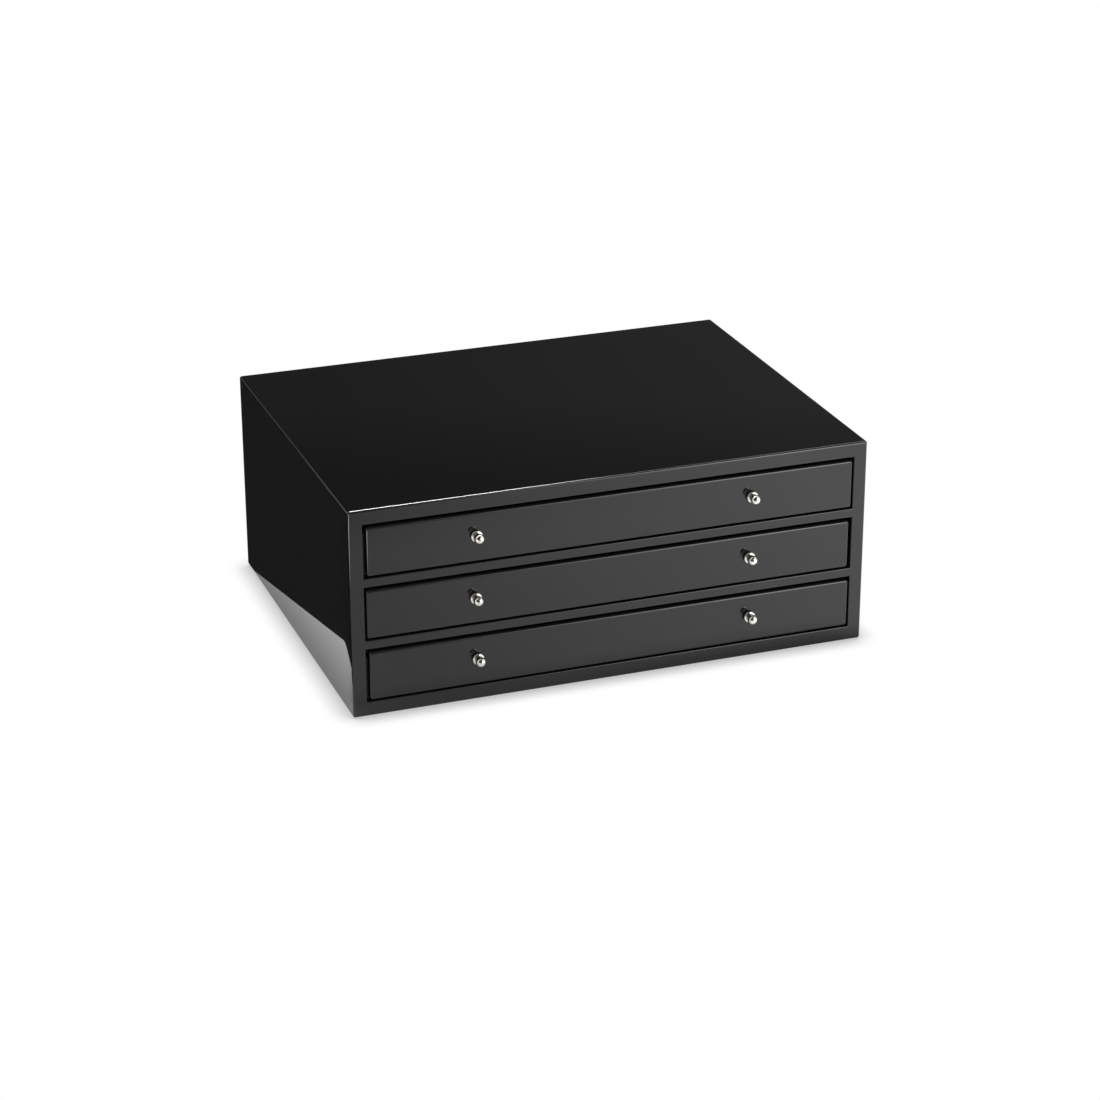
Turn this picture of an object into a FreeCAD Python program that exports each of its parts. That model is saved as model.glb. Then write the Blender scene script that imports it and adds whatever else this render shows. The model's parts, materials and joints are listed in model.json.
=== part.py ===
"""Tabletop chest with three drawers, in black lacquered wood with round nickel knobs.

Millimetres, +Z up. The origin is the middle of the footprint, on the surface that the chest
stands on. +X is to the right of someone who faces the drawers, which pull out towards -Y.
"""
import FreeCAD, Part
import math
import os

V = FreeCAD.Vector
same_place = 0.001

# Carcass: the lacquered case
carcass_width = 460.0
carcass_depth = 345.0
carcass_height = 184.0
side_thickness = 12.0
top_thickness = 13.0
base_thickness = 13.0
divider_thickness = 8.0
outer_edge_radius = 2.0
opening_edge_radius = 0.8
housing_depth = 4.0
housing_setback = 14.0

# Back panel, let into a rebate behind the case
back_thickness = 6.0
back_lap = 8.0
back_edge_gap = 0.2
back_edge_radius = 0.5

# Felt under the base and felt dots behind the drawers
base_felt_thickness = 1.0
base_felt_inset = 3.0
base_felt_corner_radius = 4.0
bumper_thickness = 2.0
bumper_radius = 5.0
bumper_inset = 40.0

# Drawer fronts, set in their openings and a little proud of the case
drawer_names = ("lower", "middle", "upper")
drawer_sideways_shift = {"lower": 0.5, "middle": -0.8, "upper": 0.5}
front_thickness = 12.0
front_proud = 1.0
front_gap_side = 2.2
front_gap_above = 2.6
front_gap_below = 1.8
front_edge_radius = 2.0
front_corner_radius = 2.2

# Drawer boxes, which run on the dividers and the base
drawer_side_thickness = 8.0
drawer_side_height = 37.0
drawer_side_clearance = 1.2
drawer_back_thickness = 8.0
drawer_back_clearance = 0.6
drawer_running_gap = 0.3
drawer_joint_depth = 4.0
drawer_edge_radius = 1.0
drawer_bottom_thickness = 4.0
drawer_bottom_height = 5.0
drawer_groove_depth = 4.0
drawer_groove_play = 0.2
lining_thickness = 1.5
lining_edge_gap = 0.4
lining_edge_radius = 0.6

# Travel of a drawer, and the strip overhead that its tall back meets at the end of it
drawer_travel = 200.0
stop_gap = 0.3
stop_strip_clearance = 0.4
stop_strip_width = 12.0
stop_strip_end_gap = 20.0

# Knobs, turned from one bar each: a foot, a collar, a neck and a ball
knob_spacing = 245.0
knob_rise = 1.9
knob_foot_radius = 2.9
knob_foot_length = 0.9
knob_collar_radius = 5.2
knob_collar_thickness = 3.2
knob_neck_radius = 2.0
knob_ball_radius = 4.3
knob_ball_distance = 8.4

# Screws
knob_screw_radius = 1.5
knob_screw_bite = 3.2
knob_hole_relief = 0.4
knob_screw_head_radius = 2.9
knob_screw_head_height = 2.2
knob_screw_head_rounding = 0.7
knob_screw_hole_clearance = 0.3
thread_clearance = 0.05
back_screw_radius = 1.5
back_screw_head_radius = 3.0
back_screw_length = 16.0
back_screw_columns = 3
back_screw_inset = 45.0
screw_slot_width = 0.8
screw_slot_depth = 0.7

# Places that follow from the sizes above
inner_width = carcass_width - 2 * side_thickness
case_bottom = base_felt_thickness
case_top = case_bottom + carcass_height
case_front = -carcass_depth / 2
case_rear = carcass_depth / 2
back_inner_face = case_rear - back_thickness
opening_height = (
    carcass_height - top_thickness - base_thickness - (len(drawer_names) - 1) * divider_thickness
) / len(drawer_names)
drawer_front_face = case_front - front_proud
drawer_front_rear = drawer_front_face + front_thickness
drawer_rear = back_inner_face - bumper_thickness - drawer_running_gap
drawer_back_front = drawer_rear - drawer_back_thickness
drawer_box_width = inner_width - 2 * drawer_side_clearance
drawer_back_height = opening_height - drawer_running_gap - drawer_back_clearance
stop_strip_rear = drawer_back_front - drawer_travel - stop_gap
stop_strip_thickness = front_gap_above - stop_strip_clearance


def opening_floor(level):
    """Height of the floor of a drawer opening, counted from the lowest one."""
    return case_bottom + base_thickness + level * (opening_height + divider_thickness)


def box(x_range, y_range, z_range):
    """A block between two values along each axis."""
    size = [high - low for low, high in (x_range, y_range, z_range)]
    return Part.makeBox(*size, V(x_range[0], y_range[0], z_range[0]))


def rod(radius, start, end):
    """A round bar between two points."""
    run = end.sub(start)
    return Part.makeCylinder(radius, run.Length, start, run)


def edges_where(shape, test):
    """The straight edges of a shape whose two ends both pass a test."""
    return [
        edge
        for edge in shape.Edges
        if len(edge.Vertexes) == 2 and all(test(vertex.Point) for vertex in edge.Vertexes)
    ]


def near(a, b):
    """Whether two lengths are the same, for telling edges apart."""
    return abs(a - b) < same_place


def drawer_opening(level):
    """The space of one drawer, from the front of the case to the back panel."""
    floor = opening_floor(level)
    half = inner_width / 2
    return box((-half, half), (case_front, back_inner_face), (floor, floor + opening_height))


def back_rebate():
    """The rebate behind the case that the back panel lies in."""
    half = inner_width / 2 + back_lap
    bottom = case_bottom + base_thickness - back_lap
    top = case_top - top_thickness + back_lap
    return box((-half, half), (back_inner_face, case_rear), (bottom, top))


def glued_case():
    """The whole case as it stands after gluing, with its edges rounded, before it is told apart."""
    half = carcass_width / 2
    outside = box((-half, half), (case_front, case_rear), (case_bottom, case_top))
    outside = outside.makeFillet(outer_edge_radius, outside.Edges)
    case = outside.cut([back_rebate()] + [drawer_opening(i) for i in range(len(drawer_names))])

    def on_opening_rim(point):
        return near(point.y, case_front) and abs(point.x) < inner_width / 2 + same_place

    return case.makeFillet(opening_edge_radius, edges_where(case, on_opening_rim))


def board(case, x_range, z_range):
    """The part of the glued case that one board fills, given by its extent along X and Z."""
    return case.common(box(x_range, (case_front, case_rear), z_range))


def divider_tongues(level):
    """The two tongues by which the divider above an opening is housed in the sides."""
    floor = opening_floor(level) + opening_height
    tongues = []
    for side in (-1, 1):
        ends = sorted((side * inner_width / 2, side * (inner_width / 2 + housing_depth)))
        depth = (case_front + housing_setback, back_inner_face)
        tongues.append(box(ends, depth, (floor, floor + divider_thickness)))
    return tongues


def divider(case, level):
    """The divider above an opening, whose front edge is the rail between two drawers."""
    floor = opening_floor(level) + opening_height
    half = inner_width / 2
    shelf = board(case, (-half, half), (floor, floor + divider_thickness))
    return shelf.fuse(divider_tongues(level)).removeSplitter()


def back_screw_places():
    """Where the screws go in the lap of the back panel: a row above, a row below, one each side."""
    row_end = inner_width / 2 - back_screw_inset
    z_low = case_bottom + base_thickness - back_lap / 2
    z_high = case_top - top_thickness + back_lap / 2
    step = 2 * row_end / (back_screw_columns - 1)
    rows = [(-row_end + i * step, z) for z in (z_low, z_high) for i in range(back_screw_columns)]
    x_side = inner_width / 2 + back_lap / 2
    z_middle = (z_low + z_high) / 2
    return rows + [(-x_side, z_middle), (x_side, z_middle)]


def back_screw(x, z):
    """A countersunk slotted screw, flush with the back panel, driven towards the front."""
    cone = back_screw_head_radius - back_screw_radius
    head = Part.makeCone(
        back_screw_head_radius, back_screw_radius, cone, V(x, case_rear, z), V(0, -1, 0)
    )
    shank = rod(back_screw_radius, V(x, case_rear - cone, z), V(x, case_rear - back_screw_length, z))
    return head.fuse(shank).removeSplitter()


def screw_slot(x, y, z, radius):
    """The driver slot across a screw head whose face looks towards +Y."""
    half = screw_slot_width / 2
    return box((x - radius, x + radius), (y - screw_slot_depth, y), (z - half, z + half))


def back_panel_screws():
    """The screws that hold the back panel, with their driver slots."""
    screws = []
    for x, z in back_screw_places():
        slot = screw_slot(x, case_rear, z, back_screw_head_radius)
        screws.append(back_screw(x, z).cut(slot))
    return screws


def back_panel():
    """The back panel, a little smaller than its rebate, with countersunk holes."""
    half = inner_width / 2 + back_lap - back_edge_gap
    bottom = case_bottom + base_thickness - back_lap + back_edge_gap
    top = case_top - top_thickness + back_lap - back_edge_gap
    panel = box((-half, half), (back_inner_face, case_rear), (bottom, top))
    rim = edges_where(panel, lambda point: near(point.y, case_rear))
    panel = panel.makeFillet(back_edge_radius, rim)
    return panel.cut([back_screw(x, z) for x, z in back_screw_places()])


def stop_strip(level):
    """The strip under the board above a drawer, which its back meets and its front passes under."""
    ceiling = opening_floor(level) + opening_height
    half = inner_width / 2 - stop_strip_end_gap
    depth = (stop_strip_rear - stop_strip_width, stop_strip_rear)
    return box((-half, half), depth, (ceiling - stop_strip_thickness, ceiling))


def drawer_bumpers():
    """Felt dots on the back panel, two behind each drawer."""
    dots = []
    for level in range(len(drawer_names)):
        z = opening_floor(level) + opening_height / 2
        for side in (-1, 1):
            x = side * (inner_width / 2 - bumper_inset)
            start = V(x, back_inner_face, z)
            dots.append(rod(bumper_radius, start, V(x, back_inner_face - bumper_thickness, z)))
    return dots


def base_felt():
    """The felt glued under the base, a little inside its edges."""
    x = carcass_width / 2 - base_felt_inset
    y = carcass_depth / 2 - base_felt_inset
    sheet = box((-x, x), (-y, y), (0, base_felt_thickness))
    corners = [edge for edge in sheet.Edges if near(edge.Length, base_felt_thickness)]
    return sheet.makeFillet(base_felt_corner_radius, corners)


def case_boards():
    """The outer boards of the case: the top and the base lie over the ends of the sides."""
    case = glued_case()
    x_inner, x_outer = inner_width / 2, carcass_width / 2
    z_base, z_top = case_bottom + base_thickness, case_top - top_thickness
    extents = {
        "top_panel": ((-x_outer, x_outer), (z_top, case_top)),
        "base_panel": ((-x_outer, x_outer), (case_bottom, z_base)),
        "left_side_panel": ((-x_outer, -x_inner), (z_base, z_top)),
        "right_side_panel": ((x_inner, x_outer), (z_base, z_top)),
    }
    cuts = [back_screw(x, z) for x, z in back_screw_places()]
    for level in range(len(drawer_names) - 1):
        cuts.extend(divider_tongues(level))
    boards = {name: board(case, *extent).cut(cuts) for name, extent in extents.items()}
    boards["lower_divider"] = divider(case, 0)
    boards["upper_divider"] = divider(case, 1)
    return boards


def case_pieces():
    """The fixed pieces of the chest, by name."""
    pieces = case_boards()
    pieces["back_panel"] = back_panel()
    pieces["back_panel_screws"] = back_panel_screws()
    for level, name in enumerate(drawer_names):
        pieces[f"{name}_stop_strip"] = stop_strip(level)
    pieces["drawer_bumpers"] = drawer_bumpers()
    pieces["base_felt"] = base_felt()
    return pieces


class Drawer:
    """One drawer: a lacquered front on a box of thin boards, with a lined bottom and two knobs."""

    def __init__(self, level, name):
        self.name = name
        self.middle = drawer_sideways_shift[name]
        self.opening_floor = opening_floor(level)
        self.floor = self.opening_floor + drawer_running_gap
        self.front_low = self.opening_floor + front_gap_below
        self.front_high = self.opening_floor + opening_height - front_gap_above
        self.knob_height = (self.front_low + self.front_high) / 2 + knob_rise
        self.box_half = drawer_box_width / 2
        self.inner_half = self.box_half - drawer_side_thickness
        self.groove_low = self.floor + drawer_bottom_height
        self.bottom_top = self.groove_low + drawer_bottom_thickness

    def across(self, low, high):
        """A range along X counted from the middle of the drawer."""
        return (self.middle + low, self.middle + high)

    def groove(self):
        """The groove round the inside of the box that the bottom sits in."""
        reach = self.inner_half + drawer_groove_depth
        depth = (drawer_front_rear - drawer_groove_depth, drawer_back_front + drawer_groove_depth)
        height = (self.groove_low, self.bottom_top + drawer_groove_play)
        return box(self.across(-reach, reach), depth, height)

    def side_blank(self, side):
        """A side before its grooving, let into the front and as long as the box."""
        ends = sorted((side * self.inner_half, side * self.box_half))
        depth = (drawer_front_rear - drawer_joint_depth, drawer_rear)
        blank = box(self.across(*ends), depth, (self.floor, self.floor + drawer_side_height))
        top = edges_where(blank, lambda point: near(point.z, self.floor + drawer_side_height))
        long_edges = [edge for edge in top if near(edge.Length, depth[1] - depth[0])]
        return blank.makeFillet(drawer_edge_radius, long_edges)

    def back_blank(self):
        """The back before its grooving, its ends let into the sides, tall enough to meet the strip."""
        half = self.inner_half + drawer_joint_depth
        height = (self.floor, self.floor + drawer_back_height)
        blank = box(self.across(-half, half), (drawer_back_front, drawer_rear), height)
        top = edges_where(blank, lambda point: near(point.z, height[1]))
        long_edges = [edge for edge in top if near(edge.Length, 2 * half)]
        return blank.makeFillet(drawer_edge_radius, long_edges)

    def knob_centres(self):
        """Left and right places of the knobs along X."""
        return {"left": self.middle - knob_spacing / 2, "right": self.middle + knob_spacing / 2}

    def front(self):
        """The lacquered front, rounded all round its face, housed for the sides and bottom."""
        half = inner_width / 2 - front_gap_side
        depth = (drawer_front_face, drawer_front_rear)
        board = box(self.across(-half, half), depth, (self.front_low, self.front_high))
        corners = [edge for edge in board.Edges if near(edge.Length, front_thickness)]
        board = board.makeFillet(front_corner_radius, corners)
        rim = [edge for edge in board.Edges if near(edge.BoundBox.YMax, drawer_front_face)]
        board = board.makeFillet(front_edge_radius, rim)
        holes = [
            rod(
                knob_screw_radius + knob_screw_hole_clearance,
                V(x, drawer_front_face, self.knob_height),
                V(x, drawer_front_rear, self.knob_height),
            )
            for x in self.knob_centres().values()
        ]
        return board.cut([self.side_blank(-1), self.side_blank(1), self.groove()] + holes)

    def side(self, side):
        """A finished side, grooved for the bottom and housed for the back."""
        return self.side_blank(side).cut([self.groove(), self.back_blank()])

    def back(self):
        """The finished back, grooved for the bottom."""
        return self.back_blank().cut(self.groove())

    def bottom(self):
        """The bottom, held in its groove on all four edges."""
        reach = self.inner_half + drawer_groove_depth - drawer_groove_play
        near_end = drawer_front_rear - drawer_groove_depth + drawer_groove_play
        far_end = drawer_back_front + drawer_groove_depth - drawer_groove_play
        height = (self.groove_low, self.bottom_top)
        return box(self.across(-reach, reach), (near_end, far_end), height)

    def lining(self):
        """The velvet pad on the bottom, just clear of the boards round it."""
        reach = self.inner_half - lining_edge_gap
        depth = (drawer_front_rear + lining_edge_gap, drawer_back_front - lining_edge_gap)
        pad = box(self.across(-reach, reach), depth, (self.bottom_top, self.bottom_top + lining_thickness))
        top = edges_where(pad, lambda point: near(point.z, self.bottom_top + lining_thickness))
        return pad.makeFillet(lining_edge_radius, top)

    def knob(self, x):
        """A turned knob, with a blind hole in its foot for the screw."""
        knob = turned_knob().cut(knob_screw_hole())
        knob.translate(V(x, drawer_front_face, self.knob_height))
        return knob

    def knob_screw(self, x):
        """The machine screw of a knob, put in from inside the drawer."""
        head_start = drawer_front_rear
        tip = V(x, drawer_front_face - knob_screw_bite, self.knob_height)
        shank = rod(knob_screw_radius, V(x, head_start, self.knob_height), tip)
        head_end = head_start + knob_screw_head_height
        head = rod(
            knob_screw_head_radius,
            V(x, head_start, self.knob_height),
            V(x, head_end, self.knob_height),
        )
        rim = [edge for edge in head.Edges if near(edge.BoundBox.YMin, head_end)]
        head = head.makeFillet(knob_screw_head_rounding, rim)
        slot = screw_slot(x, head_end, self.knob_height, knob_screw_head_radius)
        return head.cut(slot).fuse(shank).removeSplitter()

    def pieces(self):
        """The pieces of the drawer, by name."""
        parts = {
            "front": self.front(),
            "left_side": self.side(-1),
            "right_side": self.side(1),
            "back": self.back(),
            "bottom": self.bottom(),
            "lining": self.lining(),
        }
        for hand, x in self.knob_centres().items():
            parts[f"{hand}_knob"] = self.knob(x)
        parts["knob_screws"] = [self.knob_screw(x) for x in self.knob_centres().values()]
        return {f"{self.name}_drawer_{part}": shape for part, shape in parts.items()}


def turned_knob():
    """A knob on the origin that stands out along -Y: foot, collar with a round rim, neck and ball."""
    collar_start = knob_foot_length
    collar_end = knob_foot_length + knob_collar_thickness
    rim = knob_collar_thickness / 2
    rim_centre = knob_collar_radius - rim
    ball_start = knob_ball_distance - math.sqrt(knob_ball_radius**2 - knob_neck_radius**2)
    ball_end = knob_ball_distance + knob_ball_radius
    ball_side = V(knob_ball_radius, -knob_ball_distance, 0)

    def at(radius, distance):
        return V(radius, -distance, 0)

    edges = [
        Part.LineSegment(at(0, 0), at(knob_foot_radius, 0)),
        Part.LineSegment(at(knob_foot_radius, 0), at(knob_foot_radius, collar_start)),
        Part.LineSegment(at(knob_foot_radius, collar_start), at(rim_centre, collar_start)),
        Part.Arc(
            at(rim_centre, collar_start),
            at(knob_collar_radius, collar_start + rim),
            at(rim_centre, collar_end),
        ),
        Part.LineSegment(at(rim_centre, collar_end), at(knob_neck_radius, collar_end)),
        Part.LineSegment(at(knob_neck_radius, collar_end), at(knob_neck_radius, ball_start)),
        Part.Arc(at(knob_neck_radius, ball_start), ball_side, at(0, ball_end)),
        Part.LineSegment(at(0, ball_end), at(0, 0)),
    ]
    profile = Part.Face(Part.Wire([edge.toShape() for edge in edges]))
    return profile.revolve(V(0, 0, 0), V(0, 1, 0), 360)


def knob_screw_hole():
    """The blind hole in the foot of a knob on the origin."""
    depth = knob_screw_bite + knob_hole_relief
    return rod(knob_screw_radius + thread_clearance, V(0, 0, 0), V(0, -depth, 0))


def all_pieces():
    """Every piece of the chest, by name."""
    pieces = case_pieces()
    for level, name in enumerate(drawer_names):
        pieces.update(Drawer(level, name).pieces())
    return pieces


def write_piece(name, shape):
    """Write one piece as a STEP file. A list is a group of alike pieces."""
    solids = [solid for part in (shape if isinstance(shape, list) else [shape]) for solid in part.Solids]
    shape = Part.makeCompound(solids) if len(solids) > 1 else solids[0]
    shape.exportStep(f"parts/{name}.step")
    print(f"{name}: {len(solids)} solid(s), {shape.Volume:.0f} mm3")


os.makedirs("parts", exist_ok=True)
for piece_name, piece_shape in all_pieces().items():
    write_piece(piece_name, piece_shape)
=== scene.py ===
"""Looks of a black lacquered chest with three drawers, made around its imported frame.

Metres, +Z up. The drawers open towards -Y.
"""

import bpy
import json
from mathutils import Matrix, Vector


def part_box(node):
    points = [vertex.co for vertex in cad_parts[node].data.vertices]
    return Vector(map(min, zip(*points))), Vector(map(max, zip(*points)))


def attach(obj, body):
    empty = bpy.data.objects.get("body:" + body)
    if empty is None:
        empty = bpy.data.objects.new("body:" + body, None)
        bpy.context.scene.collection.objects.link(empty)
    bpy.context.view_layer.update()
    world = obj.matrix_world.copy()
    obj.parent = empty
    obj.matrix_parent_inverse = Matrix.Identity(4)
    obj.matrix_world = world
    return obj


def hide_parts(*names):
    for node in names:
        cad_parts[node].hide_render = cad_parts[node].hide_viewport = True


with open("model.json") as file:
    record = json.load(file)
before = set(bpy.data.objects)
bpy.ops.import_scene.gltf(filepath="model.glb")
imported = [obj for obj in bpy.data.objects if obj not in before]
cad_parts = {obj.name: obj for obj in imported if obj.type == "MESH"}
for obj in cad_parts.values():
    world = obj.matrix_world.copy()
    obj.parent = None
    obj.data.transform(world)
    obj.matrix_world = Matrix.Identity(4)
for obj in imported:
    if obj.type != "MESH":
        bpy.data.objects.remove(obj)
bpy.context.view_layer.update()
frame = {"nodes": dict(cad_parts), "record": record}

import json
import logging
import math
from dataclasses import dataclass
from enum import Enum

import bmesh
import bpy
from mathutils import Matrix, Vector, noise

MM = 0.001
DRAWERS = ("upper", "middle", "lower")
LOG = logging.getLogger("chest")
# How far the middle of a rounded corner lies in from each of its two sides, as a share of its radius.
ARC_BEND = 1 - math.sqrt(0.5)
# The angles in degrees above which the edges of turned pieces and of soft ones stay sharp.
TURNED_CREASE = 32.0
PAD_CREASE = 60.0

Socket = bpy.types.NodeSocket
Pair = tuple[float, float]
Triple = tuple[float, float, float]
Colour = tuple[float, float, float, float]


class Slot(Enum):
    """The material slots of the record that the visible pieces take their finish from."""

    LACQUER = "black_lacquer"
    PAINT = "satin_black_paint"
    VELVET = "grey_velvet"
    FELT = "black_felt"
    NICKEL = "polished_nickel"
    ZINC = "zinc_plated_steel"


class Nodes:
    """A node tree, with short ways to add and join nodes."""

    def __init__(self, tree: bpy.types.NodeTree) -> None:
        """Start with a tree that has no nodes."""
        self.tree = tree
        self.tree.nodes.clear()

    def feed(self, socket: Socket, value: object) -> None:
        """Link a socket to another one, or set its value."""
        if isinstance(value, Socket):
            self.tree.links.new(value, socket)
        else:
            socket.default_value = value

    def add(self, kind: str, **values: object) -> bpy.types.Node:
        """Add a node.

        Args:
            kind: The node's type, as Blender names it.
            **values: Settings of the node, and values or links for its input sockets by name
                with underscores for spaces.

        Returns:
            The new node.
        """
        node = self.tree.nodes.new(kind)
        for key, value in values.items():
            if hasattr(node, key):
                setattr(node, key, value)
            else:
                self.feed(node.inputs[key.replace("_", " ")], value)
        return node

    def math(self, operation: str, first: object, second: object = 0.0) -> Socket:
        """The result of a sum on two numbers, linked or plain."""
        node = self.add("ShaderNodeMath", operation=operation)
        self.feed(node.inputs[0], first)
        self.feed(node.inputs[1], second)
        return node.outputs[0]


class Shader(Nodes):
    """A material's node tree."""

    def __init__(self, name: str) -> None:
        """Start a material."""
        self.material = bpy.data.materials.new(name)
        self.material.use_nodes = True
        super().__init__(self.material.node_tree)

    def finished(self, surface: Socket) -> bpy.types.Material:
        """The material, with this as its surface."""
        self.add("ShaderNodeOutputMaterial", Surface=surface)
        return self.material

    def principled(self, **values: object) -> bpy.types.Material:
        """The material, with a principled surface that has these values or links."""
        return self.finished(self.add("ShaderNodeBsdfPrincipled", **values).outputs[0])

    def glow(self, strength: Socket) -> Socket:
        """White light of some strength."""
        return self.add("ShaderNodeEmission", Strength=strength).outputs[0]

    def place(self) -> Socket:
        """The position on the piece, in metres, which is the same in every pose."""
        return self.add("ShaderNodeTexCoord").outputs["Object"]

    def axes(self, vector: Socket) -> bpy.types.NodeOutputs:
        """The X, Y and Z of a position."""
        node = self.add("ShaderNodeSeparateXYZ")
        self.feed(node.inputs[0], vector)
        return node.outputs

    def openness(self, reach: float) -> Socket:
        """How open a point lies to what is within reach of it, from 0 in a corner to 1."""
        return self.add("ShaderNodeAmbientOcclusion", samples=16, Distance=reach).outputs["AO"]

    def scaled(self, vector: Socket, factors: Triple) -> Socket:
        """A position stretched along each axis.

        Args:
            vector: The position to stretch.
            factors: The factor along X, Y and Z.

        Returns:
            The stretched position.
        """
        node = self.add("ShaderNodeVectorMath", operation="MULTIPLY")
        self.feed(node.inputs[0], vector)
        self.feed(node.inputs[1], factors)
        return node.outputs[0]

    def noise(self, vector: Socket, grain: float, detail: float = 2.0) -> Socket:
        """Soft noise.

        Args:
            vector: The position that it follows, in metres.
            grain: The size of a blotch in metres.
            detail: How many finer layers are added.

        Returns:
            A value round one half.
        """
        node = self.add("ShaderNodeTexNoise", Scale=1 / grain, Detail=detail, Vector=vector)
        return node.outputs["Fac"]

    def ranged(self, value: Socket, low: float, high: float, span: Pair = (0.0, 1.0)) -> Socket:
        """A value moved from one range to another.

        Args:
            value: The value to move.
            low: What the start of its old range becomes.
            high: What the end of its old range becomes.
            span: Its old range.

        Returns:
            The moved value, kept inside the new range.
        """
        node = self.add("ShaderNodeMapRange", From_Min=span[0], From_Max=span[1], To_Min=low, To_Max=high,
                        Value=value)
        return node.outputs["Result"]

    def blended(self, part: Socket, low: Colour, high: Colour, span: Pair = (0.35, 0.65)) -> Socket:
        """A colour that noise moves between two colours.

        Args:
            part: The noise.
            low: The colour where it is low.
            high: The colour where it is high.
            span: The range of the noise over which the colour changes.

        Returns:
            The colour.
        """
        mix = self.add("ShaderNodeMix", data_type="RGBA")
        for index, value in ((0, self.ranged(part, 0.0, 1.0, span)), (6, low), (7, high)):
            self.feed(mix.inputs[index], value)
        return mix.outputs[2]

    def between(self, part: Socket, first: object, second: object) -> Socket:
        """A number that goes from one number to another as part goes from 0 to 1."""
        mix = self.add("ShaderNodeMix", data_type="FLOAT")
        for index, value in ((0, part), (2, first), (3, second)):
            self.feed(mix.inputs[index], value)
        return mix.outputs[0]

    def relief(self, height: Socket, depth: float) -> Socket:
        """A surface normal with relief.

        Args:
            height: The relief, from 0 to 1.
            depth: How deep a relief of 1 is, in metres.

        Returns:
            The bent normal.
        """
        bump = self.add("ShaderNodeBump", Strength=1.0, Distance=depth, Height=height)
        return bump.outputs["Normal"]


@dataclass(frozen=True)
class Lacquer:
    """High-gloss black lacquer: a deep mirror with faint orange peel and polishing haze."""

    colour: Colour = (0.006, 0.006, 0.0062, 1.0)
    refraction: float = 1.56
    gloss_low: float = 0.012
    gloss_high: float = 0.03
    peel_grain: float = 1.6 * MM
    peel_depth: float = 0.0006 * MM
    haze_grain: float = 45.0 * MM
    rolled_edge: float | None = None
    roll_width: float = 24.0 * MM
    roll_slope: float = 0.15
    roll_power: float = 3.0

    def build(self) -> bpy.types.Material:
        """Make the material. Its face falls away before rolled_edge, where that is given."""
        shader = Shader(Slot.LACQUER.value)
        place = shader.place()
        haze = shader.noise(place, self.haze_grain, 4.0)
        normal = shader.relief(shader.noise(place, self.peel_grain), self.peel_depth)
        if self.rolled_edge is not None:
            normal = self.rolled(shader, place, normal)
        return shader.principled(Base_Color=self.colour, IOR=self.refraction, Normal=normal,
                                 Roughness=shader.ranged(haze, self.gloss_low, self.gloss_high))

    def rolled(self, shader: Shader, place: Socket, normal: Socket) -> Socket:
        """The normal where sanding has rounded the face off towards the front edge.

        Args:
            shader: The material that it is in.
            place: The position on the piece.
            normal: The normal so far.

        Returns:
            The bent normal.
        """
        span = (self.rolled_edge, self.rolled_edge + self.roll_width)
        fall = shader.ranged(shader.axes(place)[1], 1.0, 0.0, span)
        bump = shader.add("ShaderNodeBump", invert=True, Strength=1.0, Normal=normal,
                          Distance=self.roll_slope * self.roll_width / self.roll_power,
                          Height=shader.math("POWER", fall, self.roll_power))
        return bump.outputs["Normal"]


@dataclass(frozen=True)
class SatinPaint:
    """Satin black paint on thin boards, with the grain of the wood just showing."""

    colour: Colour = (0.016, 0.0155, 0.015, 1.0)
    gloss_low: float = 0.34
    gloss_high: float = 0.54
    grain: float = 1.1 * MM
    stretch: Triple = (1.0, 0.04, 1.0)
    grain_depth: float = 0.02 * MM

    def build(self) -> bpy.types.Material:
        """Make the material."""
        shader = Shader(Slot.PAINT.value)
        fibres = shader.noise(shader.scaled(shader.place(), self.stretch), self.grain, 5.0)
        return shader.principled(Base_Color=self.colour, Normal=shader.relief(fibres, self.grain_depth),
                                 Roughness=shader.ranged(fibres, self.gloss_low, self.gloss_high))


@dataclass(frozen=True)
class Velvet:
    """Short-pile velvet in a warm grey."""

    colour: Colour = (0.12, 0.112, 0.105, 1.0)
    crushed: Colour = (0.098, 0.092, 0.087, 1.0)
    nap_grain: float = 9.0 * MM
    nap_lay: Triple = (1.0, 0.35, 1.0)
    pile_grain: float = 0.5 * MM
    pile_depth: float = 0.25 * MM

    def build(self) -> bpy.types.Material:
        """Make the material."""
        shader = Shader(Slot.VELVET.value)
        place = shader.place()
        nap = shader.noise(shader.scaled(place, self.nap_lay), self.nap_grain, 4.0)
        pile = shader.noise(place, self.pile_grain)
        return shader.principled(Base_Color=shader.blended(nap, self.crushed, self.colour), Roughness=0.9,
                                 Sheen_Weight=0.7, Sheen_Roughness=0.35,
                                 Normal=shader.relief(pile, self.pile_depth))


@dataclass(frozen=True)
class Felt:
    """Pressed black wool felt."""

    colour: Colour = (0.02, 0.02, 0.02, 1.0)
    fibre_grain: float = 0.6 * MM
    fibre_depth: float = 0.2 * MM

    def build(self) -> bpy.types.Material:
        """Make the material."""
        shader = Shader(Slot.FELT.value)
        fibres = shader.noise(shader.place(), self.fibre_grain, 6.0)
        return shader.principled(Base_Color=self.colour, Roughness=0.95,
                                 Normal=shader.relief(fibres, self.fibre_depth))


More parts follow.
